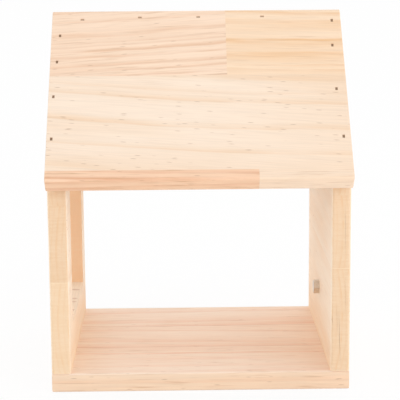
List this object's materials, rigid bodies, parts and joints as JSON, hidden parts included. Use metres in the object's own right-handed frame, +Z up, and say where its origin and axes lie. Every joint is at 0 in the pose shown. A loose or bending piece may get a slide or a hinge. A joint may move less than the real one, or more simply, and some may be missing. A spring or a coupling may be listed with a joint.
{
  "type": "bird nest box",
  "caption": "Gabled pine nest box for small cage birds, open at front and back, with a side window, a nailed ridge roof and a hanging bolt.",
  "frame": {"origin": "middle of the base's underside", "axes": "+X across to the right wall seen from the front, +Y to the back, +Z up"},
  "size_m": [0.161, 0.1568, 0.193],
  "materials": {
    "pine_pale": "planed and sanded, unfinished",
    "pine_warm": "planed and sanded, unfinished",
    "pine_pink": "planed and sanded, unfinished",
    "pine_wall": "planed and sanded, unfinished",
    "brad_steel": "dull wire, sunk below the wood",
    "zinc_plated_steel": "satin zinc"
  },
  "bodies": {
    "root": {"base_front_stave": "pine_pink", "base_left_brads": "brad_steel", "base_middle_stave": "pine_pink", "base_rear_stave": "pine_pink", "base_right_brads": "brad_steel", "front_roof_eave_left_stave": "pine_pink", "front_roof_eave_right_stave": "pine_pale", "front_roof_left_brads": "brad_steel", "front_roof_middle_stave": "pine_pale", "front_roof_right_brads": "brad_steel", "front_roof_upper_left_stave": "pine_pink", "front_roof_upper_right_stave": "pine_warm", "hanging_bolt": "zinc_plated_steel", "hanging_bolt_nut": "zinc_plated_steel", "hanging_bolt_washer": "zinc_plated_steel", "left_wall_front_post": "pine_wall", "left_wall_lower_stave": "pine_wall", "left_wall_peak_stave": "pine_wall", "left_wall_rear_post": "pine_wall", "left_wall_upper_stave": "pine_wall", "rear_roof_left_brads": "brad_steel", "rear_roof_lower_left_stave": "pine_pale", "rear_roof_lower_right_stave": "pine_pink", "rear_roof_right_brads": "brad_steel", "rear_roof_upper_stave": "pine_warm", "ridge_brads": "brad_steel", "right_wall_lower_stave": "pine_wall", "right_wall_middle_stave": "pine_wall", "right_wall_peak_stave": "pine_wall", "right_wall_upper_stave": "pine_wall"}
  },
  "joints": []
}
